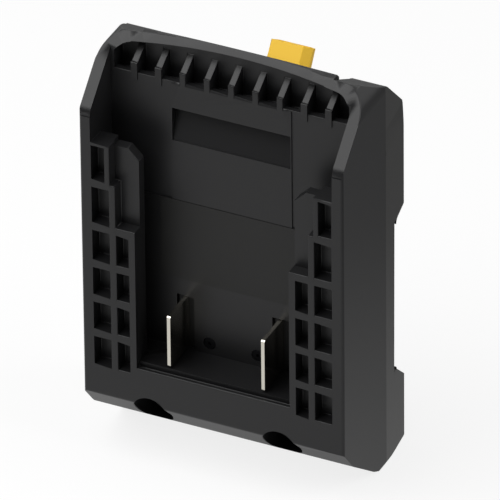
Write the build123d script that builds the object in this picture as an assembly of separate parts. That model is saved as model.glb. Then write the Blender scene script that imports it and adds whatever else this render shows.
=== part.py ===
from build123d import *
import math
import os

# A tool battery adapter: a receiver that a slide-on battery clips into, which itself drops
# into the bay of a host machine and feeds it through a two-pole connector.
# X runs across the width, Y from the front face into the depth, and Z up. The origin is on
# the centre line, in the front plane, at the level of the lowest point of the foot.

# Overall body
width = 92.0
cover_depth = 14.3
wall = 2.6
overrun = 8.0
fit_clearance = 0.2
thread_clearance = 0.03

# Heights, each stage measured from the one below
foot_height = 23.0
floor_z = 37.6
bay_height = 89.6
lip_drop = 9.3
rim_fillet_rise = 1.8
rim_rise = 23.9
deck_rise = 10.2

# Foot and front edges
foot_knee_depth = 7.0
foot_knee_height = 14.6
foot_knee_roll = 10.0
foot_depth = 26.6
foot_run = 5.2
front_edge_radius = 1.5
side_edge_radius = 1.0
rear_edge_radius = 0.8
crease_step = 0.3
rim_fillet = 4.3
bottom_corner = 1.2

# Rim and arch
arch_radius = 400.0
top_corner = 8.5
rim_width = 3.8
rim_band = 2.0
inner_arch_radius = 306.0
inner_corner = 7.0
arch_wall = 2.8

# Ears and top rear
ear_width = 12.5
ear_front_y = 20.5
ear_crest_setback = 2.3
ear_crest_drop = 9.0
ear_crest_radius = 2.0
top_rear_drop = 12.0
top_rear_radius = 2.5

# Back pads and the waist between them
upper_pad_height = 38.2
upper_pad_radius = 1.2
waist_depth = 6.3
waist_top_drop = 3.1
waist_top_radius = 2.6
waist_bottom_z = 32.1
waist_bottom_radius = 1.5
waist_chamfer = 1.7
lower_pad_top_z = 26.4
lower_pad_bottom_z = 3.0
lower_pad_radius = 1.0
rear_draft = 0.2
facet_step = 0.5
facet_drop = 9.2
facet_rise = 8.0
facet_climb = 3.5

# Deck, vent and fins
deck_y = 15.5
deck_wall = 2.5
deck_panel_half = 21.0
deck_side_step = 0.4
vent_side = 5.0
vent_margin = 7.08
vent_depth = 2.6
vent_wall = 1.3
fin_count = 9
fin_thickness = 2.2
fin_upright = 3.75
fin_notch = 0.9
fin_rise = 7.7
deck_edge = 0.6

# Latch pocket
latch_half = 20.7
latch_lift = 0.6
latch_height = 12.1
latch_depth = 4.5
latch_step = 0.4

# Rail lips with their pockets
lip_front = 4.4
lip_back = 8.0
lip_top_inner = 35.6
lip_middle_inner = 33.75
lip_low_inner = 27.0
lip_middle_drop = 14.5
lip_low_drop = 30.1
panel_inner = 27.2
panel_drop = 1.7
panel_corner = 3.9
pocket_depth = 5.0
pocket_inner = 35.95
pocket_outer = 42.0
pocket_top_inner = 37.4
second_pocket_inner = 29.2
second_pocket_outer = 33.6
pocket_start = 3.7
pocket_top_drop = 1.05
pocket_bar = 2.9
pocket_shares = (0.155, 0.150, 0.150, 0.164, 0.196, 0.185)
second_pocket_rows = 4

# Bottom bar and terminal well
bar_drop = 1.3
bar_depth = 1.4
bar_gap = 1.0
bar_gap_depth = 2.0
well_half = 27.0

# Lower case screws, reached through two scallops in the foot
scallop_x = 22.8
scallop_z = 19.3
scallop_radius = 6.5
scallop_wall = 2.0
lower_seat_y = 14.0
seat_wall = 3.0
screw_radius = 1.5
screw_hole = 1.75
screw_head_radius = 2.8
screw_head_height = 2.2
screw_socket = 1.2
screw_length = 18.0
post_radius = 3.8

# Upper case screws, driven from behind
upper_screw_inset = 8.4
upper_screw_drop = 14.0
upper_bore = 3.4
upper_boss = 5.2
upper_seat_depth = 5.8
upper_screw_length = 14.0

# Rating label
label_half = 25.2
label_low = 26.4
label_height = 29.5
label_thickness = 0.2
label_corner = 1.0

# Blades and their carrier
blade_x = 16.6
blade_thickness = 1.25
blade_front_y = 2.35
blade_low = 0.7
blade_height = 19.2
blade_bevel = 0.5
tail_height = 10.0
tail_length = 6.8
slot_inner = 13.8
slot_outer = 19.8
slot_height = 20.0
plug_setback = 1.3
carrier_half = 25.0
carrier_depth = 7.8
carrier_height = 23.0
carrier_screw_x = 8.5
carrier_screw_rise = 4.0
carrier_screw_radius = 1.1
carrier_head_radius = 2.0
carrier_head_height = 1.1
carrier_screw_length = 7.0

# Lugs, rivets and leads
lug_thickness = 0.8
lug_margin = 0.6
barrel_length = 6.0
barrel_wall = 0.75
barrel_gap = 1.4
rivet_radius = 1.4
rivet_head = 2.3
rivet_head_height = 0.7
lead_radius = 1.3
lead_grip = 0.05
lead_straight = 10.0
lead_fall = 8.0
lead_landing = 6.0
output_straight = 11.0
output_reach = 13.5
output_run = 8.0
arc_share = 0.45

# Circuit board and what it carries
board_half = 30.0
board_top_gap = 2.0
board_thickness = 1.6
board_gap = 3.0
room_gap = 4.1
board_corner = 1.5
standoff_height = 4.0
standoff_radius = 3.0
board_screw_inset = 3.5
board_screw_radius = 1.2
board_hole = 1.4
board_head_radius = 2.3
board_head_height = 1.5
board_screw_length = 5.0
mosfet_width = 10.2
mosfet_height = 9.2
mosfet_thickness = 4.5
mosfet_x = -2.6
mosfet_spacing = 12.0
mosfet_rise = 19.5
pin_width = 0.9
pin_length = 3.2
pin_thickness = 0.5
pin_pitch = 2.54
sink_width = 23.0
sink_height = 15.5
sink_base = 1.8
sink_fin_height = 3.6
sink_fins = 6
sink_fin_thickness = 1.2
seat_gap = 0.1
capacitor_radius = 5.0
capacitor_length = 16.0
capacitor_x = -24.0
capacitor_groove = 0.4
capacitor_rise = 6.5
fuse_x = 24.6
fuse_rise = 12.0
holder_width = 10.0
holder_height = 7.0
holder_thickness = 4.0
fuse_width = 9.2
fuse_height = 3.8
fuse_thickness = 5.2
fuse_leg_width = 2.6
fuse_leg_thickness = 0.7
fuse_leg_length = 3.0
shunt_width = 8.8
shunt_height = 3.0
shunt_thickness = 2.2
shunt_strip = 0.8
shunt_rise = 7.0
chip_width = 6.0
chip_height = 5.0
chip_thickness = 1.5
chip_rise = 5.0
chip_pins = 4
chip_pin_width = 0.4
chip_pin_length = 0.9
chip_pin_pitch = 1.27
chip_pin_thickness = 0.25

# Output connector, which leans back out of the recess between the ears
connector_x = 12.1
connector_tilt = 32.0
connector_width = 15.9
connector_thickness = 8.1
connector_reach = 9.7
connector_length = 18.0
nose_width = 13.7
nose_thickness = 7.0
nose_bevel = 2.5
nose_length = 9.2
recess_depth = 11.7
pole_offset = 3.6
contact_radius = 2.3
contact_bore = 1.75
contact_setback = 1.2
contact_depth = 12.0
cup_length = 3.0
flange_width = 18.6
flange_depth = 11.0
flange_thickness = 1.5
retainer_gap = 0.2
retainer_width = 30.0
retainer_depth = 12.0
retainer_thickness = 2.0
retainer_screw_x = 12.3
retainer_screw_forward = 1.5
retainer_boss = 2.4
retainer_screw_radius = 1.1
retainer_head_radius = 2.1
retainer_head_height = 1.3
retainer_bite = 1.4

# Places that follow from the sizes above
half = width / 2
foot_lean = math.atan2(foot_knee_height, foot_depth - foot_knee_depth)
foot_roll = foot_run / math.tan(foot_lean / 2)
crease_z = floor_z + bay_height
lip_top_z = crease_z - lip_drop
panel_top_z = lip_top_z - panel_drop
lip_middle_z = lip_top_z - lip_middle_drop
lip_low_z = lip_top_z - lip_low_drop
crown_z = crease_z + rim_rise
rim_start_z = crease_z + rim_fillet_rise
deck_top_z = crease_z + deck_rise
arch_front_y = crown_z - rim_start_z
arch_back_y = arch_front_y + arch_wall
inner_crown_z = crown_z - rim_band
inner_half = half - rim_width
ear_inner = half - ear_width
vent_half = half - vent_side
fin_pitch = 2 * (vent_half - vent_margin) / (fin_count - 1)
deck_back_y = deck_y + deck_wall
board_front_y = deck_back_y + standoff_height
board_back_y = board_front_y + board_thickness
sink_front_y = board_back_y + mosfet_thickness + seat_gap
sink_back_y = sink_front_y + sink_base + sink_fin_height
waist_y = sink_back_y + room_gap + wall
depth = waist_y + waist_depth
parting_y = depth - cover_depth
ear_crest_y = parting_y + ear_crest_setback
vent_floor_z = deck_top_z - vent_depth
vent_back_y = arch_front_y + vent_wall
crest_z = crown_z - ear_crest_drop
upper_pad_top_z = crest_z - top_rear_drop
upper_pad_low_z = upper_pad_top_z - upper_pad_height
waist_top_z = upper_pad_low_z - waist_top_drop
facet_low_z = crease_z - facet_drop
pocket_low_z = floor_z - pocket_start
pocket_bars = pocket_bar * (len(pocket_shares) - 1)
pocket_stack = lip_top_z - pocket_top_drop - pocket_low_z - pocket_bars
recess_z = crown_z - recess_depth
latch_top_z = crease_z + latch_lift
latch_low_z = latch_top_z - latch_height
upper_screw_x = half - upper_screw_inset
upper_screw_z = rim_start_z - upper_screw_drop
lower_bore_end = lower_seat_y + seat_wall
upper_seat_y = depth - upper_seat_depth
blade_low_z = floor_z + blade_low
blade_mid_z = blade_low_z + blade_height / 2
carrier_front_y = deck_back_y + fit_clearance
carrier_back_y = carrier_front_y + carrier_depth
carrier_low_z = floor_z + fit_clearance
carrier_top_z = carrier_low_z + carrier_height
board_low_z = carrier_top_z + board_gap
contact_end = connector_length + cup_length - connector_reach
bend_z = recess_z - (contact_end + output_run) * math.cos(math.radians(connector_tilt))
output_turn_z = bend_z - output_reach
board_top_z = output_turn_z - board_top_gap
board_height = board_top_z - board_low_z
lead_y = board_back_y + lead_radius + lead_grip


def block(across, deep, high):
    """A box between two places across the width, in the depth and in the height."""
    middle = [(low + top) / 2 for low, top in (across, deep, high)]
    return Pos(*middle) * Box(*[top - low for low, top in (across, deep, high)])


def rod(start, direction, radius, length):
    """A round bar from a start point along a direction."""
    return extrude(Plane(origin=start, z_dir=direction) * Circle(radius), length)


def prism(corners, across):
    """A prism across the width, whose corners are (depth, height, radius)."""
    points = [(y, z) for y, z, _ in corners]
    path = FilletPolyline(*points, radius=[radius for _, _, radius in corners], close=True)
    low, high = across
    plane = Plane(origin=(low, 0, 0), x_dir=(0, 1, 0), z_dir=(1, 0, 0))
    return extrude(plane * make_face(path.edges()), high - low)


def pair(part):
    """A piece and its mirror image on the other side of the centre line."""
    return part + mirror(part, about=Plane.YZ)


def outline_face(side, crown, radius, bottom_radius, top_radius, y):
    """A front-view outline at a depth: straight sides, an arched top and rounded corners."""
    top_x = side[-1][0]
    shoulder = crown - radius + math.sqrt(radius**2 - top_x**2)
    right = side + [(top_x, shoulder)]
    left = [(-x, z) for x, z in reversed(right)]
    arch = ThreePointArc((top_x, shoulder), (0, crown), (-top_x, shoulder))
    face = make_face([*Polyline(*left, *right).edges(), arch])
    if bottom_radius:
        face = fillet(face.vertices().group_by(Axis.Y)[0], bottom_radius)
    face = fillet(face.vertices().group_by(Axis.Y)[-1], top_radius)
    return Plane(origin=(0, y, 0), x_dir=(1, 0, 0), z_dir=(0, -1, 0)) * face


def side_profile():
    """The body's outline from the side, from the foot's front edge up and round the back."""
    return [
        (0, foot_height, front_edge_radius),
        (0, crease_z, 0),
        (crease_step, crease_z, 0),
        (crease_step, rim_start_z + crease_step, rim_fillet),
        (ear_front_y, rim_start_z + ear_front_y, 0),
        (ear_crest_y, crest_z, ear_crest_radius),
        (depth, upper_pad_top_z, top_rear_radius),
        (depth, upper_pad_low_z, upper_pad_radius),
        (waist_y, waist_top_z, waist_top_radius),
        (waist_y, waist_bottom_z, waist_bottom_radius),
        (depth, lower_pad_top_z, waist_bottom_radius),
        (depth, lower_pad_bottom_z, lower_pad_radius),
        (parting_y, 0, 0),
        (foot_depth, 0, foot_roll),
        (foot_knee_depth, foot_knee_height, foot_knee_roll),
    ]


def plan_prism():
    """The plan outline, whose upright edges are rounded, over the whole height."""
    face = Pos(0, depth / 2) * Rectangle(width, depth)
    face = fillet(face.vertices().group_by(Axis.Y)[0], side_edge_radius)
    face = fillet(face.vertices().group_by(Axis.Y)[-1], rear_edge_radius)
    return extrude(Pos(0, 0, -overrun) * face, crown_z + overrun + overrun)


def front_outline(start, end):
    """The outer front-view outline between two depths."""
    face = outline_face([(half, 0)], crown_z, arch_radius, bottom_corner, top_corner, start)
    return extrude(face, start - end)


def front_envelope():
    """The outer form of the front shell, with the arch wall between the ears."""
    outline = front_outline(0, parting_y)
    body = outline & prism(side_profile(), (-half, half)) & plan_prism()
    arch = outline & prism(
        [
            (crease_step + wall, crease_z, 0),
            (arch_back_y, crease_z, 0),
            (arch_back_y, crown_z - arch_wall, 0),
            (arch_front_y, crown_z, 0),
            (crease_step + wall, crease_step + wall + rim_start_z, 0),
        ],
        (-ear_inner, ear_inner),
    )
    return body + arch


def rear_envelope():
    """The outer form of the rear shell: drafted sides with a small facet below the ears."""
    sections = []
    for y, draft, climb in ((parting_y, 0, 0), (depth, rear_draft, facet_climb)):
        low = facet_low_z + climb
        outer = half - draft
        side = [(outer, 0), (outer, low), (outer - facet_step, low + facet_rise)]
        sections.append(outline_face(side, crown_z, arch_radius, bottom_corner, top_corner, y))
    return loft(sections, ruled=True) & prism(side_profile(), (-half, half)) & plan_prism()


def waist_edge():
    """The wedge that chamfers the waist's right edge."""
    corners = [(half, waist_y - waist_chamfer), (half, waist_y), (half - waist_chamfer, waist_y)]
    outline = Polyline(*corners, close=True)
    wedge = extrude(make_face(outline.edges()), waist_top_z - waist_bottom_z)
    return Pos(0, 0, waist_bottom_z) * wedge


def inner_space(start, end):
    """The room inside both shells between two depths, one wall in from the outside."""
    inset = wall * math.tan(math.radians(22.5))
    slope = foot_height / foot_depth
    lean = wall * math.hypot(1, slope)
    corners = [
        (wall, foot_height + lean - wall * slope, 0),
        (wall, crease_z, 0),
        (wall + inset + crease_step, rim_start_z - inset + crease_step, 0),
        (ear_front_y, rim_start_z + ear_front_y - wall / math.cos(math.pi / 4), 0),
        (ear_crest_y - inset, crest_z - wall - inset, 0),
        (depth - wall, upper_pad_top_z - inset, 0),
        (depth - wall, upper_pad_low_z + wall, 0),
        (waist_y - wall, waist_top_z + wall, 0),
        (waist_y - wall, waist_bottom_z - wall / 2, 0),
        (depth - wall, lower_pad_top_z - wall / 2, 0),
        (depth - wall, lower_pad_bottom_z + wall, 0),
        (parting_y, wall, 0),
        (foot_depth + wall / 2, wall, 0),
    ]
    room = prism(corners, (wall + rear_draft - half, half - wall - rear_draft))
    return room & block((-half, half), (start, end), (0, crown_z))


def recess_line(y, drop):
    """The height of the leaning recess floor at a depth, or of a level below it."""
    lean = math.radians(connector_tilt)
    return recess_z - (y - parting_y) * math.tan(lean) - drop / math.cos(lean)


def recess_region(half_width, front, drop):
    """Everything over the leaning recess floor, or over a level below that floor."""
    back = depth + overrun
    top = crown_z + overrun + overrun
    return prism(
        [
            (front, recess_line(front, drop), 0),
            (front, top, 0),
            (back, top, 0),
            (back, recess_line(back, drop), 0),
        ],
        (-half_width, half_width),
    )


def connector_plane():
    """The plane of the connector's mouth, square to its axis."""
    lean = math.radians(connector_tilt)
    axis = Vector(0, math.sin(lean), math.cos(lean))
    seat = Vector(connector_x, parting_y, recess_z)
    return Plane(origin=seat + axis * connector_reach, x_dir=(1, 0, 0), z_dir=axis)


def on_connector(across, thick, along):
    """A box in the connector's own directions; along counts down from its mouth."""
    return connector_plane() * block(across, thick, (-along[1], -along[0]))


def on_connector_rod(x, forward, start, end, radius):
    """A round bar along the connector's axis between two depths below its mouth."""
    bar = rod((x, -forward, -end), (0, 0, 1), radius, end - start)
    return connector_plane() * bar


def connector_opening():
    """The hole that the connector passes through in the floor of the recess."""
    half_x = connector_width / 2 + fit_clearance
    half_t = connector_thickness / 2 + fit_clearance
    below = connector_reach + wall + overrun
    return on_connector((-half_x, half_x), (-half_t, half_t), (0, below))


def screw(start, direction, head_radius, head_height, radius, length, socket):
    """A pan-head screw whose head seats at the start point, with a square drive socket."""
    plane = Plane(origin=start, z_dir=direction)
    head = extrude(Circle(head_radius), -head_height)
    shank = extrude(Circle(radius), length)
    drive = Pos(0, 0, -head_height) * extrude(Rectangle(socket, socket), head_height / 2)
    return plane * (head + shank - drive)


def fins():
    """The nine upright fins in the vent behind the flared rim."""
    step_z = deck_top_z + fin_upright
    corners = [
        (deck_y, vent_floor_z, 0),
        (deck_y, step_z, 0),
        (deck_y + fin_notch, step_z, 0),
        (arch_front_y, deck_top_z + fin_rise, 0),
        (arch_front_y, vent_floor_z, 0),
    ]
    first = -fin_pitch * (fin_count - 1) / 2
    solids = []
    for number in range(fin_count):
        x = first + number * fin_pitch
        solids.append(prism(corners, (x - fin_thickness / 2, x + fin_thickness / 2)))
    return solids


def deck_chamfer():
    """The wedge that takes the sharp corner off the deck's top edge."""
    corners = [
        (deck_y, deck_top_z - deck_edge, 0),
        (deck_y, deck_top_z, 0),
        (deck_y + deck_edge, deck_top_z, 0),
    ]
    return prism(corners, (-vent_half, vent_half))


def lips():
    """The right rail lip: a stepped front layer and the panel set back behind it."""
    outer = half - rim_width / 2
    low_z = floor_z - wall
    steps = (
        (lip_low_inner, low_z, lip_low_z),
        (lip_middle_inner, lip_low_z, lip_middle_z),
        (lip_top_inner, lip_middle_z, lip_top_z),
    )
    layer = block((pocket_inner, outer), (0, lip_back), (low_z, lip_top_z))
    for inner, low, high in steps:
        layer += block((inner, outer), (0, lip_front), (low, high))
    outline = Polyline(
        (panel_inner, low_z),
        (outer, low_z),
        (outer, panel_top_z),
        (panel_inner + panel_corner, panel_top_z),
        (panel_inner, panel_top_z - panel_corner),
        close=True,
    )
    plane = Plane(origin=(0, lip_front, 0), x_dir=(1, 0, 0), z_dir=(0, -1, 0))
    return layer + extrude(plane * make_face(outline.edges()), lip_front - lip_back)


def pockets():
    """The two columns of pockets that lighten the right lip."""
    cuts = []
    low = pocket_low_z
    for row, share in enumerate(pocket_shares):
        high = low + pocket_stack * share
        last = row == len(pocket_shares) - 1
        inner = pocket_top_inner if last else pocket_inner
        cuts.append(block((inner, pocket_outer), (-overrun, pocket_depth), (low, high)))
        if row < second_pocket_rows:
            across = (second_pocket_inner, second_pocket_outer)
            cuts.append(block(across, (-overrun, pocket_depth), (low, high)))
        low = high + pocket_bar
    return cuts


def bay():
    """The battery bay over the deck, and the vent behind the deck's top edge."""
    outline = outline_face(
        [(inner_half, floor_z)], inner_crown_z, inner_arch_radius, 0, inner_corner, -overrun
    )
    room = extrude(outline, -overrun - deck_y)
    vent_outline = outline_face(
        [(inner_half, vent_floor_z)], inner_crown_z, inner_arch_radius, 0, inner_corner, deck_y
    )
    vent = extrude(vent_outline, deck_y - arch_front_y)
    vent &= block((-vent_half, vent_half), (0, depth), (0, crown_z))
    vent -= block((-half, half), (deck_y, deck_back_y), (0, deck_top_z))
    upper = deck_y + deck_side_step
    panel_z = (floor_z + label_low + label_height, crown_z)
    side = block((deck_panel_half, inner_half), (deck_y - overrun / 2, upper), panel_z)
    side &= front_outline(0, depth)
    return room, vent, pair(side)


def latch_prism(grow):
    """The wedge of the latch pocket, or with a growth the boss that stands around it."""
    front = deck_y - deck_wall
    reach = deck_y + grow
    return prism(
        [
            (front, latch_low_z - grow, 0),
            (front, latch_top_z + grow, 0),
            (reach + latch_depth, latch_top_z + grow, 0),
            (reach + latch_step, latch_low_z - grow, 0),
        ],
        (-latch_half - grow, latch_half + grow),
    )


def board_screw_places():
    """The four fixing points of the circuit board."""
    x = board_half - board_screw_inset
    heights = (board_low_z + board_screw_inset, board_top_z - board_screw_inset)
    return [(side * x, z) for z in heights for side in (-1, 1)]


def retainer_screw_places():
    """The two fixing points of the retainer, across the connector."""
    return (-retainer_screw_x, retainer_screw_x)


def front_solid_parts():
    """What stands inside the front shell: block, bosses, standoffs and screw seats."""
    ahead = (-overrun, deck_back_y)
    solids = [block((-half, half), ahead, (floor_z - wall, crown_z))]
    vent_x = vent_half + wall
    solids.append(block((-vent_x, vent_x), (0, vent_back_y), (vent_floor_z - wall, crown_z)))
    solids.append(recess_region(ear_inner + wall, arch_front_y, wall))
    solids.append(latch_prism(wall))
    lip_across = (lip_low_inner, pocket_outer + wall)
    solids.append(pair(block(lip_across, (0, lip_back), (pocket_low_z - wall, floor_z))))
    tube = scallop_radius + scallop_wall
    solids.append(pair(rod((scallop_x, 0, scallop_z), (0, 1, 0), tube, lower_bore_end)))
    upper_length = parting_y - deck_y
    boss = rod((upper_screw_x, deck_y, upper_screw_z), (0, 1, 0), upper_boss, upper_length)
    solids.append(pair(boss))
    for x, z in board_screw_places():
        length = board_front_y - deck_y
        solids.append(rod((x, deck_y, z), (0, 1, 0), standoff_radius, length))
    under = connector_reach + wall + fit_clearance + flange_thickness + retainer_gap
    for x in retainer_screw_places():
        solids.append(
            on_connector_rod(x, retainer_screw_forward, connector_reach, under, retainer_boss)
        )
    return solids


def front_shell():
    """The receiver: bay, deck, rim with fins, lips, latch pocket, foot and screw seats."""
    envelope = front_envelope()
    room, vent, side_steps = bay()
    shell = envelope - room - vent - side_steps - recess_region(ear_inner, arch_back_y, 0)
    hollow = inner_space(wall, parting_y)
    for solid in front_solid_parts():
        hollow -= solid
    shell -= hollow
    shell -= deck_chamfer()
    for fin in fins():
        shell += fin & envelope
    shell += pair(lips()) & envelope
    for cut in pockets():
        shell -= pair(cut)
    well = (-well_half, well_half)
    shell -= block(well, (-overrun, bar_depth), (floor_z - bar_drop, lip_top_z))
    gap = (bar_depth, bar_depth + bar_gap)
    shell -= block(well, gap, (floor_z - bar_gap_depth, lip_top_z))
    shell -= latch_prism(0)
    slot_deep = (deck_y - wall, deck_back_y + wall)
    slot = block((slot_inner, slot_outer), slot_deep, (floor_z, floor_z + slot_height))
    shell -= pair(slot)
    return shell - front_holes()


def front_holes():
    """The screw holes, scallops and connector opening of the front shell."""
    ahead = -overrun
    cuts = pair(rod((scallop_x, ahead, scallop_z), (0, 1, 0), scallop_radius, lower_seat_y - ahead))
    cuts += pair(rod((scallop_x, 0, scallop_z), (0, 1, 0), screw_hole, parting_y))
    pilot = screw_radius + thread_clearance
    start = (upper_screw_x, upper_seat_y, upper_screw_z)
    cuts += pair(rod(start, (0, -1, 0), pilot, upper_screw_length + thread_clearance))
    for x, z in board_screw_places():
        pilot = board_screw_radius + thread_clearance
        cuts += rod((x, board_front_y, z), (0, -1, 0), pilot, board_screw_length - board_thickness)
    carrier_z = floor_z + carrier_screw_rise
    for x in (-carrier_screw_x, carrier_screw_x):
        hole = carrier_screw_radius + fit_clearance
        cuts += rod((x, deck_y, carrier_z), (0, 1, 0), hole, deck_wall + overrun / 2)
        head = carrier_head_radius + fit_clearance
        depth_of_head = carrier_head_height + fit_clearance
        cuts += rod((x, deck_y - wall, carrier_z), (0, 1, 0), head, depth_of_head + wall)
    cuts += connector_opening()
    low = retainer_screw_start()
    for x in retainer_screw_places():
        pilot = retainer_screw_radius + thread_clearance
        top = connector_reach + wall - retainer_bite
        cuts += on_connector_rod(x, retainer_screw_forward, top, low, pilot)
    return cuts


def rear_shell():
    """The back cover with its pads, waist, ears, screw posts and half of the recess floor."""
    shell = rear_envelope() - recess_region(ear_inner, arch_back_y, 0)
    hollow = inner_space(parting_y, depth)
    hollow -= recess_region(ear_inner + wall, arch_front_y, wall)
    posts = rod((scallop_x, parting_y, scallop_z), (0, 1, 0), post_radius, depth - parting_y - wall)
    hollow -= pair(posts)
    bosses = rod((upper_screw_x, parting_y, upper_screw_z), (0, 1, 0), upper_boss,
                 depth - parting_y)
    hollow -= pair(bosses)
    shell -= hollow
    post_start = lower_bore_end + fit_clearance
    front_post = rod((scallop_x, post_start, scallop_z), (0, 1, 0), post_radius,
                     depth - wall - post_start)
    shell += pair(front_post)
    pilot = screw_radius + thread_clearance
    end = lower_seat_y + screw_length + thread_clearance
    shell -= pair(rod((scallop_x, 0, scallop_z), (0, 1, 0), pilot, end))
    shell -= pair(rod((upper_screw_x, 0, upper_screw_z), (0, 1, 0), screw_hole, depth))
    bore = rod((upper_screw_x, upper_seat_y, upper_screw_z), (0, 1, 0), upper_bore,
               upper_seat_depth + overrun)
    return shell - pair(bore) - pair(waist_edge()) - connector_opening()


def rating_label():
    """The bare label on the deck."""
    face = fillet(Rectangle(2 * label_half, label_height).vertices(), label_corner)
    middle = floor_z + label_low + label_height / 2
    plane = Plane(origin=(0, deck_y, middle), x_dir=(1, 0, 0), z_dir=(0, -1, 0))
    return extrude(plane * face, label_thickness)


def blade(side):
    """One flat terminal, whose tail carries a lug behind the carrier."""
    low, high = blade_low_z, blade_low_z + blade_height
    tail_low, tail_high = blade_mid_z - tail_height / 2, blade_mid_z + tail_height / 2
    neck = carrier_back_y + fit_clearance
    x = side * blade_x
    corners = [
        (blade_front_y, low + blade_bevel, 0),
        (blade_front_y, high - blade_bevel, 0),
        (blade_front_y + blade_bevel, high, 0),
        (neck, high, 0),
        (neck, tail_high, 0),
        (neck + tail_length, tail_high, 0),
        (neck + tail_length, tail_low, 0),
        (neck, tail_low, 0),
        (neck, low, 0),
        (blade_front_y + blade_bevel, low, 0),
    ]
    plate = prism(corners, (x - blade_thickness / 2, x + blade_thickness / 2))
    return plate - rivet_rod(side, rivet_radius + thread_clearance)


def rivet_rod(side, radius):
    """The line of a rivet across a blade's tail and its lug."""
    x = side * blade_x
    reach = blade_thickness / 2 + lug_thickness + rivet_head_height
    y = carrier_back_y + fit_clearance + tail_length / 2
    return rod((x - reach, y, blade_mid_z), (1, 0, 0), radius, 2 * reach)


def lug_x(side):
    """The place of a lug's plate, on the outer face of its blade."""
    return side * (blade_x + blade_thickness / 2 + lug_thickness / 2)


def lug(side):
    """A crimped lug: a plate on the blade's tail and a barrel round the lead."""
    x = lug_x(side)
    plate_x = (x - lug_thickness / 2, x + lug_thickness / 2)
    y = carrier_back_y + fit_clearance + tail_length / 2
    reach = tail_length / 2 - lug_margin
    top = blade_mid_z + tail_height / 2
    barrel_z = top + barrel_gap
    radius = lead_radius + lead_grip + barrel_wall
    piece = block(plate_x, (y - reach, y + reach), (blade_mid_z - reach, top))
    piece += block(plate_x, (y - radius, y + radius), (top, barrel_z + barrel_wall))
    piece += rod((x, y, barrel_z), (0, 0, 1), radius, barrel_length)
    bore = lead_radius + lead_grip
    piece -= rod((x, y, barrel_z + barrel_wall), (0, 0, 1), bore, barrel_length)
    return piece - rivet_rod(side, rivet_radius + thread_clearance)


def lug_rivets():
    """The two rivets, each with a head on either side."""
    rivets = []
    for side in (-1, 1):
        body = rivet_rod(side, rivet_radius)
        y = carrier_back_y + fit_clearance + tail_length / 2
        inner = side * (blade_x - blade_thickness / 2)
        outer = side * (blade_x + blade_thickness / 2 + lug_thickness)
        body += rod((inner, y, blade_mid_z), (-side, 0, 0), rivet_head, rivet_head_height)
        body += rod((outer, y, blade_mid_z), (side, 0, 0), rivet_head, rivet_head_height)
        rivets.append(body)
    return rivets


def terminal_carrier():
    """The insulating block behind the deck, whose two plugs fill the blade slots."""
    across = (-carrier_half, carrier_half)
    body = block(across, (carrier_front_y, carrier_back_y), (carrier_low_z, carrier_top_z))
    plug = block(
        (slot_inner + fit_clearance, slot_outer - fit_clearance),
        (deck_y + plug_setback, carrier_front_y),
        (carrier_low_z, floor_z + slot_height - fit_clearance),
    )
    body += pair(plug)
    slit_x = blade_thickness / 2 + thread_clearance
    slit = block(
        (blade_x - slit_x, blade_x + slit_x),
        (0, depth),
        (blade_low_z - thread_clearance, blade_low_z + blade_height + thread_clearance),
    )
    body -= pair(slit)
    radius = carrier_screw_radius + thread_clearance
    hole = rod((carrier_screw_x, deck_y, floor_z + carrier_screw_rise), (0, 1, 0), radius,
               carrier_screw_length + carrier_head_height + fit_clearance)
    return body - pair(hole)


def carrier_screws():
    """The two small screws that hold the carrier against the deck."""
    seat_y = deck_y + carrier_head_height + fit_clearance
    place = (carrier_screw_x, seat_y, floor_z + carrier_screw_rise)
    piece = screw(place, (0, 1, 0), carrier_head_radius, carrier_head_height,
                  carrier_screw_radius, carrier_screw_length, carrier_head_radius / 2)
    return [piece, mirror(piece, about=Plane.YZ)]


def case_screws_lower():
    """The two screws at the bottom of the scallops."""
    piece = screw((scallop_x, lower_seat_y, scallop_z), (0, 1, 0), screw_head_radius,
                  screw_head_height, screw_radius, screw_length, screw_socket)
    return [piece, mirror(piece, about=Plane.YZ)]


def case_screws_upper():
    """The two screws driven from behind into the front shell."""
    piece = screw((upper_screw_x, upper_seat_y, upper_screw_z), (0, -1, 0), screw_head_radius,
                  screw_head_height, screw_radius, upper_screw_length, screw_socket)
    return [piece, mirror(piece, about=Plane.YZ)]


def circuit_board():
    """The under-voltage cut-off board on four standoffs behind the deck."""
    face = fillet(Rectangle(2 * board_half, board_height).vertices(), board_corner)
    middle = (board_low_z + board_top_z) / 2
    plane = Plane(origin=(0, board_front_y, middle), x_dir=(1, 0, 0), z_dir=(0, -1, 0))
    board = extrude(plane * face, -board_thickness)
    for x, z in board_screw_places():
        board -= rod((x, 0, z), (0, 1, 0), board_hole, depth)
    return board


def board_screws():
    """The four screws of the circuit board."""
    return [
        screw((x, board_back_y, z), (0, -1, 0), board_head_radius, board_head_height,
              board_screw_radius, board_screw_length, board_head_radius / 2)
        for x, z in board_screw_places()
    ]


def mosfet(side):
    """A flat power transistor with three pins soldered to the board."""
    x = mosfet_x + side * mosfet_spacing / 2
    low = board_low_z + mosfet_rise
    body = block(
        (x - mosfet_width / 2, x + mosfet_width / 2),
        (board_back_y, board_back_y + mosfet_thickness),
        (low, low + mosfet_height),
    )
    for number in (-1, 0, 1):
        pin_x = x + number * pin_pitch
        body += block(
            (pin_x - pin_width / 2, pin_x + pin_width / 2),
            (board_back_y, board_back_y + pin_thickness),
            (low - pin_length, low),
        )
    return body


def heat_sink():
    """The finned aluminium bar on both transistors."""
    middle_z = board_low_z + mosfet_rise + mosfet_height / 2
    high = (middle_z - sink_height / 2, middle_z + sink_height / 2)
    across = (mosfet_x - sink_width / 2, mosfet_x + sink_width / 2)
    bar = block(across, (sink_front_y, sink_front_y + sink_base), high)
    step = (sink_width - sink_fin_thickness) / (sink_fins - 1)
    for number in range(sink_fins):
        x = across[0] + number * step
        bar += block((x, x + sink_fin_thickness), (sink_front_y, sink_back_y), high)
    return bar


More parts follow.
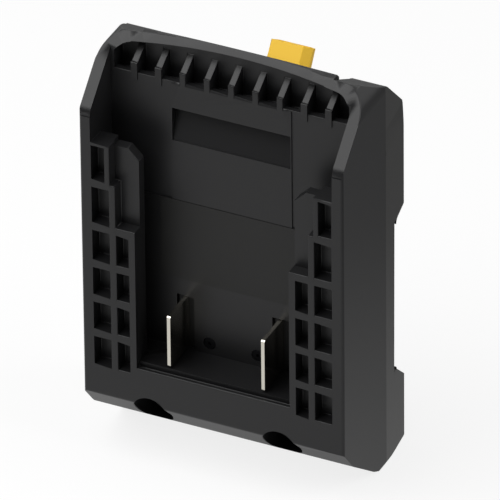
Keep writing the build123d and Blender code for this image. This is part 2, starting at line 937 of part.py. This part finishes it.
def bulk_capacitor():
    """The lying electrolytic capacitor, with the rolled groove near its end."""
    y = board_back_y + capacitor_radius + seat_gap
    low = board_low_z + capacitor_rise
    can = rod((capacitor_x, y, low), (0, 0, 1), capacitor_radius, capacitor_length)
    groove_z = low + capacitor_radius / 2
    ring = rod((capacitor_x, y, groove_z), (0, 0, 1), capacitor_radius, capacitor_groove)
    core = rod((capacitor_x, y, groove_z), (0, 0, 1), capacitor_radius - capacitor_groove,
               capacitor_groove)
    return can - (ring - core)


def fuse_holder():
    """The socket of the blade fuse."""
    low = board_low_z + fuse_rise
    holder = block(
        (fuse_x - holder_width / 2, fuse_x + holder_width / 2),
        (board_back_y, board_back_y + holder_thickness),
        (low, low + holder_height),
    )
    for leg in fuse_legs(thread_clearance):
        holder -= leg
    return holder


def fuse_legs(grow):
    """The two flat legs of the fuse, or the slits they stand in."""
    top = board_back_y + holder_thickness + seat_gap
    middle = board_low_z + fuse_rise + holder_height / 2
    x = fuse_width / 2 - fuse_leg_width / 2
    thick = fuse_leg_thickness / 2 + grow
    legs = []
    for side in (-1, 1):
        centre = fuse_x + side * x
        across = (centre - fuse_leg_width / 2 - grow, centre + fuse_leg_width / 2 + grow)
        legs.append(
            block(across, (top - fuse_leg_length - grow, top + grow),
                  (middle - thick, middle + thick))
        )
    return legs


def fuse():
    """The blade fuse, with its legs in the holder."""
    top = board_back_y + holder_thickness + seat_gap
    middle = board_low_z + fuse_rise + holder_height / 2
    body = block(
        (fuse_x - fuse_width / 2, fuse_x + fuse_width / 2),
        (top, top + fuse_thickness),
        (middle - fuse_height / 2, middle + fuse_height / 2),
    )
    for leg in fuse_legs(0):
        body += leg
    return body


def current_shunt():
    """The bent metal strip that the output current is measured across."""
    low = board_low_z + shunt_rise
    high = (low, low + shunt_height)
    across = (fuse_x - shunt_width / 2, fuse_x + shunt_width / 2)
    top = board_back_y + shunt_thickness
    bridge = block(across, (board_back_y, top), high)
    inner = (across[0] + shunt_strip, across[1] - shunt_strip)
    return bridge - block(inner, (board_back_y, top - shunt_strip), high)


def controller_chip():
    """The controller in its small package, with a row of pins on either side."""
    low = board_low_z + chip_rise
    across = (-chip_width / 2, chip_width / 2)
    chip = block(across, (board_back_y, board_back_y + chip_thickness), (low, low + chip_height))
    middle = low + chip_height / 2
    for number in range(chip_pins):
        z = middle + (number - (chip_pins - 1) / 2) * chip_pin_pitch
        reach = chip_width / 2 + chip_pin_length
        chip += block(
            (-reach, reach),
            (board_back_y, board_back_y + chip_pin_thickness),
            (z - chip_pin_width / 2, z + chip_pin_width / 2),
        )
    return chip


def connector_housing():
    """The two-pole housing: keyed nose, thicker body, flange and bores for the contacts."""
    half_x = nose_width / 2
    half_t = nose_thickness / 2
    outline = Polyline(
        (-half_x, -half_t),
        (half_x - nose_bevel, -half_t),
        (half_x, nose_bevel - half_t),
        (half_x, half_t - nose_bevel),
        (half_x - nose_bevel, half_t),
        (-half_x, half_t),
        close=True,
    )
    body = extrude(make_face(outline.edges()), -nose_length)
    body += block(
        (-connector_width / 2, connector_width / 2),
        (-connector_thickness / 2, connector_thickness / 2),
        (-connector_length, -nose_length),
    )
    flange_top = connector_reach + wall + fit_clearance
    flange = block(
        (-flange_width / 2, flange_width / 2),
        (-flange_depth / 2, flange_depth / 2),
        (-flange_top - flange_thickness, -flange_top),
    )
    housing = connector_plane() * (body + flange)
    for pole in (-pole_offset, pole_offset):
        bore = contact_radius + thread_clearance
        housing -= on_connector_rod(pole, 0, 0, connector_length, bore)
    return housing


def contact(side):
    """A round socket with a solder cup at its rear end."""
    pole = side * pole_offset
    end = connector_length + cup_length
    body = on_connector_rod(pole, 0, contact_setback, end, contact_radius)
    body -= on_connector_rod(pole, 0, 0, contact_setback + contact_depth, contact_bore)
    bore = lead_radius + lead_grip
    return body - on_connector_rod(pole, 0, connector_length, end, bore)


def retainer_screw_start():
    """How far below the mouth the retainer's screw heads seat."""
    flange_low = connector_reach + wall + fit_clearance + flange_thickness
    return flange_low + retainer_gap + retainer_thickness


def connector_retainer():
    """The plate that holds the connector's flange up against the recess floor."""
    top = retainer_screw_start() - retainer_thickness
    plate = on_connector(
        (-retainer_width / 2, retainer_width / 2),
        (-retainer_depth / 2, retainer_depth / 2),
        (top, top + retainer_thickness),
    )
    half_x = connector_width / 2 + fit_clearance
    half_t = connector_thickness / 2 + fit_clearance
    plate -= on_connector((-half_x, half_x), (-half_t, half_t), (0, top + overrun))
    for x in retainer_screw_places():
        hole = retainer_screw_radius + fit_clearance
        plate -= on_connector_rod(x, retainer_screw_forward, top, top + overrun, hole)
    return plate


def retainer_screws():
    """The two screws that hold the retainer to the front shell."""
    start = retainer_screw_start()
    length = start - (connector_reach + wall - retainer_bite)
    plane = connector_plane()
    screws = []
    for x in retainer_screw_places():
        piece = screw((x, -retainer_screw_forward, -start), (0, 0, 1), retainer_head_radius,
                      retainer_head_height, retainer_screw_radius, length,
                      retainer_head_radius / 2)
        screws.append(plane * piece)
    return screws


def tube(name, points):
    """A round lead along straight runs joined by arcs as large as the runs allow."""
    places = [Vector(*point) for point in points]
    radii = []
    for before, here, after in zip(places, places[1:], places[2:]):
        turn = math.radians((here - before).get_angle(after - here))
        shorter = min((here - before).length, (after - here).length)
        radii.append(arc_share * shorter / math.tan(turn / 2))
    path = FilletPolyline(*places, radius=radii)
    start = Plane(origin=path @ 0, z_dir=path % 0)
    lead = sweep(start * Circle(lead_radius), path=path.wire())
    expected = math.pi * lead_radius**2 * path.wire().length
    print(name, "arc radii", [round(r, 1) for r in radii], "length", round(path.wire().length, 1),
          "volume over section times length", round(lead.volume / expected, 5))
    return lead


def input_lead(side):
    """A lead from a blade's lug to the foot of the board."""
    x = lug_x(side)
    y = carrier_back_y + fit_clearance + tail_length / 2
    start = blade_mid_z + tail_height / 2 + barrel_gap + barrel_wall
    bend = start + lead_straight
    points = [
        (x, y, start),
        (x, y, bend),
        (x, lead_y, bend + lead_fall),
        (x, lead_y, bend + lead_fall + lead_landing),
    ]
    return tube("input lead", points)


def output_lead(side):
    """A lead from the head of the board into the solder cup of a contact."""
    plane = connector_plane()
    x = connector_x + side * pole_offset
    end = plane.from_local_coords(Vector(side * pole_offset, 0, -connector_length))
    bend = plane.from_local_coords(
        Vector(side * pole_offset, 0, -connector_length - cup_length - output_run)
    )
    points = [
        (x, lead_y, output_turn_z - output_straight),
        (x, lead_y, output_turn_z),
        (x, bend.Y, bend.Z),
        (x, end.Y, end.Z),
    ]
    return tube("output lead", points)


nodes = {
    "front_shell": front_shell(),
    "rear_shell": rear_shell(),
    "rating_label": rating_label(),
    "positive_blade": blade(-1),
    "negative_blade": blade(1),
    "terminal_carrier": terminal_carrier(),
    "carrier_screws": carrier_screws(),
    "positive_lug": lug(-1),
    "negative_lug": lug(1),
    "lug_rivets": lug_rivets(),
    "case_screws_lower": case_screws_lower(),
    "case_screws_upper": case_screws_upper(),
    "circuit_board": circuit_board(),
    "board_screws": board_screws(),
    "left_mosfet": mosfet(-1),
    "right_mosfet": mosfet(1),
    "heat_sink": heat_sink(),
    "bulk_capacitor": bulk_capacitor(),
    "fuse_holder": fuse_holder(),
    "fuse": fuse(),
    "current_shunt": current_shunt(),
    "controller_chip": controller_chip(),
    "connector_housing": connector_housing(),
    "positive_contact": contact(-1),
    "negative_contact": contact(1),
    "connector_retainer": connector_retainer(),
    "retainer_screws": retainer_screws(),
    "positive_input_lead": input_lead(-1),
    "negative_input_lead": input_lead(1),
    "positive_output_lead": output_lead(-1),
    "negative_output_lead": output_lead(1),
}

os.makedirs("parts", exist_ok=True)
for name, piece in nodes.items():
    solids = piece if isinstance(piece, list) else [piece]
    body = Compound([solid for item in solids for solid in item.solids()])
    export_step(body, f"parts/{name}.step")
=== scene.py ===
import math

import bmesh
import bpy
from mathutils import Matrix, Vector
from mathutils.geometry import intersect_point_line


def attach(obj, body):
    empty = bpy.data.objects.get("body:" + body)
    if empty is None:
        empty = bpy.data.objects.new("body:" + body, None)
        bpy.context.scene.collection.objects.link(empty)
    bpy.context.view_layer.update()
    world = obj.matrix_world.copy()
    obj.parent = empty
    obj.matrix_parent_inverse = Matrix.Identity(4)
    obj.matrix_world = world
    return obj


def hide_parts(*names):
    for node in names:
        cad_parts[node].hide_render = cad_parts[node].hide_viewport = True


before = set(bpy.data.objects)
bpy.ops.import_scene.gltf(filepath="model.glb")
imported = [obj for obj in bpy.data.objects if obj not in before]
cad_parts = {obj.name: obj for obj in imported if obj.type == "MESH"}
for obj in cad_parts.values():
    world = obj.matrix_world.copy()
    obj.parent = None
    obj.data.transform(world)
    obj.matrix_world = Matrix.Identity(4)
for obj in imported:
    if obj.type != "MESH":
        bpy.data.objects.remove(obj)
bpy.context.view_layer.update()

# Shells: the front receiver and the rear cover are injection moulded in black ABS. The tool is
# spark eroded, so the skin is finely grained, matt and dark, with a soft sheen where it faces a
# light. Every edge of a moulding is slightly round, and it catches a thin line of light.
MM = 0.001
same_place_mm = 0.002  # corners closer than this are one corner
one_face = math.radians(0.5)  # faces bent less than this are one face
to_round = math.radians(30)  # an edge bent more than this may be rounded
to_shade = math.radians(50)  # an edge bent more than this stays sharp in the shading
in_the_way = math.radians(25)  # an edge bent more, or a corner narrower, is in a rounding's way
shortest_mm = 1.0  # an edge shorter than this isn't rounded
free_rounds = 2.5  # how many times its radius a rounded edge needs free on each side


def linear(hex_colour):
    """An sRGB hex colour as the linear colour that a shader socket takes."""
    parts = [int(hex_colour[i : i + 2], 16) / 255 for i in (1, 3, 5)]
    return (*[c / 12.92 if c <= 0.04045 else ((c + 0.055) / 1.055) ** 2.4 for c in parts], 1.0)


def add_node(tree, kind, links=(), **settings):
    """Adds a shader node, with its settings and socket values, and links it up."""
    node = tree.nodes.new(kind)
    for name, value in settings.items():
        if hasattr(node, name):
            setattr(node, name, value)
        else:
            node.inputs[name.replace("_", " ")].default_value = value
    for source, socket in links:
        tree.links.new(source, node.inputs[socket])
    return node


def new_material(name, **finish):
    """A named material whose Principled shader has the given socket values."""
    material = bpy.data.materials.new(name)
    material.use_nodes = True
    shader = material.node_tree.nodes["Principled BSDF"]
    for socket, value in finish.items():
        shader.inputs[socket.replace("_", " ")].default_value = value
    return material


def grain(material, size_mm, height_mm):
    """Gives a material a fine grain, a bump on Object coordinates."""
    tree = material.node_tree
    place = add_node(tree, "ShaderNodeTexCoord")
    noise = add_node(
        tree,
        "ShaderNodeTexNoise",
        links=[(place.outputs["Object"], "Vector")],
        Scale=1 / (size_mm * MM),
        Detail=3.0,
    )
    bump = add_node(
        tree,
        "ShaderNodeBump",
        links=[(noise.outputs["Fac"], "Height")],
        Distance=height_mm * MM,
        Strength=1.0,
    )
    tree.links.new(bump.outputs["Normal"], tree.nodes["Principled BSDF"].inputs["Normal"])


def dress(node, material):
    """Puts a material on a CAD node, whose mesh stays as it is."""
    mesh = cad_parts[node].data
    mesh.materials.clear()
    mesh.materials.append(material)


def crowded(edge, room):
    """Whether another bent edge of the same faces runs closer to an edge than a given room."""
    start, end = [corner.co for corner in edge.verts]
    places = [start.lerp(end, share) for share in (0.1, 0.5, 0.9)]
    for other in {other for face in edge.link_faces for other in face.edges}:
        apart = not set(other.verts) & set(edge.verts)
        if apart and other.calc_face_angle(0.0) > in_the_way:
            first, last = [corner.co for corner in other.verts]
            for place in places:
                share = intersect_point_line(place, first, last)[1]
                near = first.lerp(last, min(max(share, 0), 1))
                if (near - place).length < room:
                    return True
    return False


def roundable(edge, room):
    """Whether an edge is sharp, long and free enough all round for a clean bevel."""
    if edge.calc_face_angle(0.0) <= to_round or edge.calc_length() <= shortest_mm * MM:
        return False
    if crowded(edge, room):
        return False
    for corner in edge.verts:
        run = edge.other_vert(corner).co - corner.co
        for other in corner.link_edges:
            if other is not edge:
                side = other.other_vert(corner).co - corner.co
                if side.length <= room or run.angle(side) <= in_the_way:
                    return False
    return True


def rounded_copy(node, name, material, round_mm):
    """A merged copy of a CAD node whose clean sharp edges are rounded, in the node's place."""
    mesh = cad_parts[node].data.copy()
    # The CAD's own normals belong to its loose triangles and would shade the merged faces wrongly.
    if "custom_normal" in mesh.attributes:
        mesh.attributes.remove(mesh.attributes["custom_normal"])
    shape = bmesh.new()
    shape.from_mesh(mesh)
    bmesh.ops.remove_doubles(shape, verts=shape.verts, dist=same_place_mm * MM)
    bmesh.ops.dissolve_limit(shape, angle_limit=one_face, verts=shape.verts, edges=shape.edges)
    # A face bent round the pockets fills wrongly once its corners move, so it is cut up first.
    bmesh.ops.connect_verts_concave(shape, faces=shape.faces)
    low, high = [Vector(map(ends, zip(*[v.co for v in shape.verts]))) for ends in (min, max)]
    room = free_rounds * round_mm * MM
    bmesh.ops.bevel(
        shape,
        geom=[edge for edge in shape.edges if roundable(edge, room)],
        offset=round_mm * MM,
        segments=2,
        profile=0.5,
        affect="EDGES",
        material=-1,
        clamp_overlap=False,
    )
    # Where three edges meet on a slope, a corner can land a little outside, and is pushed back.
    for corner in shape.verts:
        corner.co = [min(max(c, a), b) for c, a, b in zip(corner.co, low, high)]
    for face in shape.faces:
        face.smooth = True
    shape.to_mesh(mesh)
    shape.free()
    mesh.set_sharp_from_angle(angle=to_shade)
    mesh.materials.clear()
    mesh.materials.append(material)
    piece = bpy.data.objects.new(name, mesh)
    bpy.context.scene.collection.objects.link(piece)
    flat = piece.modifiers.new("flat faces stay flat", "WEIGHTED_NORMAL")
    flat.keep_sharp = True
    flat.weight = 100
    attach(piece, "root")
    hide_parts(node)


shell_round_mm = 0.3
abs_moulded = new_material(
    "black ABS, spark eroded",
    Base_Color=linear("#19191A"),
    Roughness=0.38,
    Specular_IOR_Level=0.36,
)
# The real grain is about 0.1 mm, too fine to show, and is drawn three times as coarse.
grain(abs_moulded, size_mm=0.3, height_mm=0.012)
rounded_copy("front_shell", "front_shell_moulding", abs_moulded, shell_round_mm)
# The rear cover is taken to come out of a smoother tool, which makes it shinier.
abs_smooth_painted_lighter = new_material(
    "black ABS, smooth moulded, painted lighter",
    # Painted light: a lighter base than the front shell's, standing in for the light on its side
    # band.
    Base_Color=linear("#1E1E1D"),
    Roughness=0.28,
    Specular_IOR_Level=0.5,
)
grain(abs_smooth_painted_lighter, size_mm=0.3, height_mm=0.006)
rounded_copy("rear_shell", "rear_shell_moulding", abs_smooth_painted_lighter, shell_round_mm)

# Rating label: a bare matt polyester film glued to the deck, with rounded corners. It has no
# grain, so its black is flat and even beside the moulded deck.
film = new_material(
    "matt black polyester film",
    Base_Color=linear("#1A1A19"),
    Roughness=0.45,
    Specular_IOR_Level=0.33,
)
dress("rating_label", film)

# Terminals: two blades punched from copper alloy strip and nickel plated, which is a warm,
# fairly bright grey. They stand in a carrier behind the deck, moulded in black nylon, which its
# glass fibres leave dull.
nickel = new_material(
    "nickel plate on copper alloy",
    Base_Color=linear("#CFCBC0"),
    Metallic=1.0,
    Roughness=0.22,
)
grain(nickel, size_mm=0.4, height_mm=0.002)
blade_round_mm = 0.12
for blade in ("positive_blade", "negative_blade"):
    rounded_copy(blade, blade + "_punched", nickel, blade_round_mm)
nylon = new_material(
    "black glass-filled nylon",
    Base_Color=linear("#171717"),
    Roughness=0.55,
    Specular_IOR_Level=0.3,
)
grain(nylon, size_mm=0.3, height_mm=0.01)
dress("terminal_carrier", nylon)

# Fasteners: steel screws that hold the case, the carrier, the board and the connector's retainer.
# Their black zinc plate is dark and slightly shiny.
zinc = new_material(
    "black zinc plate on steel",
    Base_Color=linear("#2A2A2C"),
    Metallic=1.0,
    Roughness=0.38,
)
for screws in (
    "carrier_screws",
    "case_screws_lower",
    "case_screws_upper",
    "board_screws",
    "retainer_screws",
):
    dress(screws, zinc)

# Wiring: copper lugs riveted to the blades' tails, tinned to a pale soft shine, and leads to the
# board and on to the connector. The leads are covered in silicone rubber with a satin skin, red
# on the positive side and black on the negative one.
tinned = new_material(
    "tinned copper", Base_Color=linear("#C9C7C0"), Metallic=1.0, Roughness=0.3
)
for part in ("positive_lug", "negative_lug", "lug_rivets"):
    dress(part, tinned)
red_silicone = new_material(
    "red silicone rubber", Base_Color=linear("#A81410"), Roughness=0.45
)
black_silicone = new_material(
    "black silicone rubber", Base_Color=linear("#141414"), Roughness=0.45
)
for end in ("input", "output"):
    dress(f"positive_{end}_lead", red_silicone)
    dress(f"negative_{end}_lead", black_silicone)

# Circuit board: glass-epoxy laminate screwed to the front shell, under solder mask that gives it
# a glossy deep green, with the parts it carries. Their finishes follow one by one.
mask = new_material("green solder mask", Base_Color=linear("#14552C"), Roughness=0.3)
dress("circuit_board", mask)
# Moulding epoxy is a dull black, on the transistors, the chip and the fuse's holder.
epoxy = new_material("black moulding epoxy", Base_Color=linear("#161616"), Roughness=0.45)
for part in ("left_mosfet", "right_mosfet", "controller_chip", "fuse_holder"):
    dress(part, epoxy)
# The sink's extruded aluminium is a pale satin grey.
aluminium = new_material(
    "extruded aluminium", Base_Color=linear("#C6C8CA"), Metallic=1.0, Roughness=0.35
)
dress("heat_sink", aluminium)
# The sleeve shrunk over the capacitor's can is smooth, shiny and nearly black.
sleeve = new_material("black shrink sleeve", Base_Color=linear("#191A20"), Roughness=0.25)
dress("bulk_capacitor", sleeve)
# The fuse is moulded with a polished tool, which gives a glossy red.
fuse_body = new_material(
    "red moulded polycarbonate", Base_Color=linear("#C42A18"), Roughness=0.2
)
dress("fuse", fuse_body)
# The shunt's strip is a brownish metal, between copper and steel.
manganin = new_material(
    "manganin strip", Base_Color=linear("#B9A58E"), Metallic=1.0, Roughness=0.35
)
dress("current_shunt", manganin)

# Output connector: a two-pole housing moulded in nylon, a bright warm yellow with a soft sheen.
# A plate of black nylon holds its flange under the recess floor, and its sockets are turned
# brass, gold plated to a warm bright metal.
connector_round_mm = 0.25
yellow_nylon = new_material(
    "yellow moulded nylon",
    Base_Color=linear("#FCCC40"),
    Roughness=0.45,
    Specular_IOR_Level=0.3,
)
grain(yellow_nylon, size_mm=0.5, height_mm=0.004)
rounded_copy(
    "connector_housing",
    "connector_moulding",
    yellow_nylon,
    connector_round_mm,
)
gold = new_material(
    "gold-plated brass", Base_Color=linear("#E2BC62"), Metallic=1.0, Roughness=0.22
)
dress("positive_contact", gold)
dress("negative_contact", gold)
dress("connector_retainer", nylon)

# Studio: a white paper floor and a white surround, both pure white to the camera. Glossy surfaces
# see them white on the lit side and grey or dark beyond, and the floor keeps the object's shadow.
floor_half_width = 6.0
below_object = 0.0001
painted_light_place = (-0.15, -0.2, 0)
painted_light_reach, painted_shade_reach = 0.22, 0.44
white_to_camera = 1.03
glow_share = 0.8
floor_shape = bmesh.new()
bmesh.ops.create_grid(floor_shape, x_segments=1, y_segments=1, size=floor_half_width)
floor_mesh = bpy.data.meshes.new("floor")
floor_shape.to_mesh(floor_mesh)
floor_shape.free()
floor = bpy.data.objects.new("floor", floor_mesh)
floor.location = (0, 0, -below_object)
bpy.context.scene.collection.objects.link(floor)
paper = bpy.data.materials.new("white paper floor")
paper.use_nodes = True
tree = paper.node_tree
tree.nodes.clear()
# Painted reflection: reflections show the floor glowing white in front on the left, a painted pool
# of light where the light falls, and grey beyond as painted shade.
place = add_node(tree, "ShaderNodeTexCoord")
away = add_node(
    tree, "ShaderNodeVectorMath", operation="DISTANCE", links=[(place.outputs["Object"], 0)]
)
away.inputs[1].default_value = painted_light_place
mirrored = add_node(
    tree,
    "ShaderNodeMapRange",
    links=[(away.outputs["Value"], "Value")],
    From_Min=painted_light_reach,
    From_Max=painted_shade_reach,
    To_Min=0.9,
    To_Max=0.1,
)
rays = add_node(tree, "ShaderNodeLightPath")
strength = add_node(
    tree,
    "ShaderNodeMapRange",
    links=[(rays.outputs["Is Camera Ray"], "Value"), (mirrored.outputs[0], "To Min")],
    To_Max=white_to_camera,
)
seen = add_node(
    tree,
    "ShaderNodeMath",
    operation="MAXIMUM",
    links=[(rays.outputs["Is Camera Ray"], 0), (rays.outputs["Is Glossy Ray"], 1)],
)
seen = add_node(
    tree,
    "ShaderNodeMath",
    operation="MAXIMUM",
    links=[(seen.outputs[0], 0), (rays.outputs["Is Transmission Ray"], 1)],
)
# The rest of the floor's look is plain paper, on which the shadow falls.
share = add_node(tree, "ShaderNodeMath", operation="MULTIPLY", links=[(seen.outputs[0], 0)])
share.inputs[1].default_value = glow_share
matt = add_node(tree, "ShaderNodeBsdfDiffuse", Color=linear("#F2F2F2"))
glow = add_node(
    tree, "ShaderNodeEmission", Color=linear("#FFFFFF"), links=[(strength.outputs[0], "Strength")]
)
mixed = add_node(
    tree,
    "ShaderNodeMixShader",
    links=[(share.outputs[0], 0), (matt.outputs[0], 1), (glow.outputs[0], 2)],
)
add_node(tree, "ShaderNodeOutputMaterial", links=[(mixed.outputs[0], "Surface")])
floor_mesh.materials.append(paper)

world = bpy.data.worlds.new("studio")
bpy.context.scene.world = world
world.use_nodes = True
tree = world.node_tree
tree.nodes.clear()
# Reflections show the surround white behind the object and dark in front, where the room is.
room_side, wall_side = -0.4, 0.1
light_on_object = 0.2
towards = add_node(tree, "ShaderNodeTexCoord")
towards = add_node(tree, "ShaderNodeSeparateXYZ", links=[(towards.outputs["Generated"], 0)])
mirrored = add_node(
    tree,
    "ShaderNodeMapRange",
    links=[(towards.outputs["Y"], "Value")],
    From_Min=room_side,
    From_Max=wall_side,
    To_Min=0.05,
    To_Max=1.0,
)
rays = add_node(tree, "ShaderNodeLightPath")
glossy = add_node(
    tree,
    "ShaderNodeMath",
    operation="MAXIMUM",
    links=[(rays.outputs["Is Glossy Ray"], 0), (rays.outputs["Is Transmission Ray"], 1)],
)
strength = add_node(
    tree,
    "ShaderNodeMapRange",
    links=[(glossy.outputs[0], "Value"), (mirrored.outputs[0], "To Max")],
    To_Min=light_on_object,
)
strength = add_node(
    tree,
    "ShaderNodeMapRange",
    links=[(rays.outputs["Is Camera Ray"], "Value"), (strength.outputs[0], "To Min")],
    To_Max=1.0,
)
sky = add_node(
    tree,
    "ShaderNodeBackground",
    Color=linear("#FFFFFF"),
    links=[(strength.outputs["Result"], "Strength")],
)
add_node(tree, "ShaderNodeOutputWorld", links=[(sky.outputs[0], "Surface")])

# Soft boxes: a large one above and in front on the left gives most of the light, and a smaller
# one high on the right lifts the side. Each is a name, a direction, a distance, a side and watts.
body_middle = Vector((0, 0.02, 0.075))
soft_boxes = (
    ("key box", (-0.4, -0.4, 0.82), 1.2, 1.1, 14.0),
    ("fill box", (0.8, 0.05, 0.6), 1.2, 0.6, 5.0),
)
for name, towards, away, side, power in soft_boxes:
    lamp = bpy.data.lights.new(name, "AREA")
    lamp.shape = "SQUARE"
    lamp.size = side
    lamp.energy = power
    box = bpy.data.objects.new(name, lamp)
    box.location = body_middle + Vector(towards).normalized() * away
    box.rotation_euler = Vector(towards).to_track_quat("Z", "Y").to_euler()
    bpy.context.scene.collection.objects.link(box)

# Camera: a long lens from the front right and above, turned as the photograph is. It stands a
# few millimetres to the right and up, which puts the object in its place in the frame.
look = Vector((-0.36245, 0.75505, -0.54637)).normalized()
distance = 3.7287
to_the_right, upwards = 0.003603, 0.001665
roll = math.radians(0.585)
level_right = look.cross(Vector((0, 0, 1))).normalized()
level_up = level_right.cross(look)
right = level_right * math.cos(roll) - level_up * math.sin(roll)
up = right.cross(look)
camera_data = bpy.data.cameras.new("camera")
camera_data.lens = 843.4
camera_data.sensor_width = 36
camera_data.clip_end = 20
camera = bpy.data.objects.new("camera", camera_data)
place = body_middle - look * distance + right * to_the_right + up * upwards
camera.matrix_world = Matrix.Translation(place) @ Matrix((right, up, -look)).transposed().to_4x4()
bpy.context.scene.collection.objects.link(camera)
bpy.context.scene.camera = camera
bpy.context.scene.view_settings.view_transform = "Standard"

bpy.context.view_layer.update()
